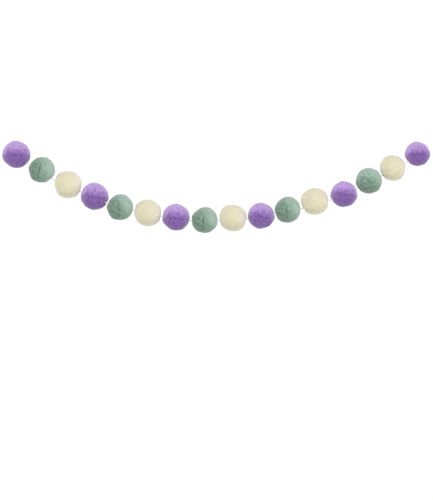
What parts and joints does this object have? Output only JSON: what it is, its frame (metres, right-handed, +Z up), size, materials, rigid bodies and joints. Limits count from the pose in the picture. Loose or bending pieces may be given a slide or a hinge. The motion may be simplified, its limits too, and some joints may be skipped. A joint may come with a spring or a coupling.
{
  "type": "felt ball garland",
  "caption": "Garland of wool felt balls in lilac purple, sage green and cream, threaded on a cotton string and hung in a shallow curve from a tied loop at each end.",
  "frame": {"origin": "where the inside of the left loop bears on its hook", "axes": "+X along the garland from its left end to its right end, +Y away from the viewer, +Z up"},
  "size_m": [0.4569, 0.0259, 0.1057],
  "materials": {
    "felt_purple": "rolled wool felt, matte and slightly fuzzy",
    "felt_green": "rolled wool felt, matte and slightly fuzzy",
    "felt_cream": "rolled wool felt, matte and slightly fuzzy",
    "string_cotton": "plied white cotton string, matte"
  },
  "bodies": {
    "root": {"ball_01_purple": "felt_purple", "ball_02_green": "felt_green", "ball_03_cream": "felt_cream", "ball_04_purple": "felt_purple", "ball_05_green": "felt_green", "ball_06_cream": "felt_cream", "ball_07_purple": "felt_purple", "ball_08_green": "felt_green", "ball_09_cream": "felt_cream", "ball_10_purple": "felt_purple", "ball_11_green": "felt_green", "ball_12_cream": "felt_cream", "ball_13_purple": "felt_purple", "ball_14_green": "felt_green", "ball_15_cream": "felt_cream", "ball_16_purple": "felt_purple", "string": "string_cotton", "loop_left": "string_cotton", "loop_right": "string_cotton"}
  },
  "joints": []
}
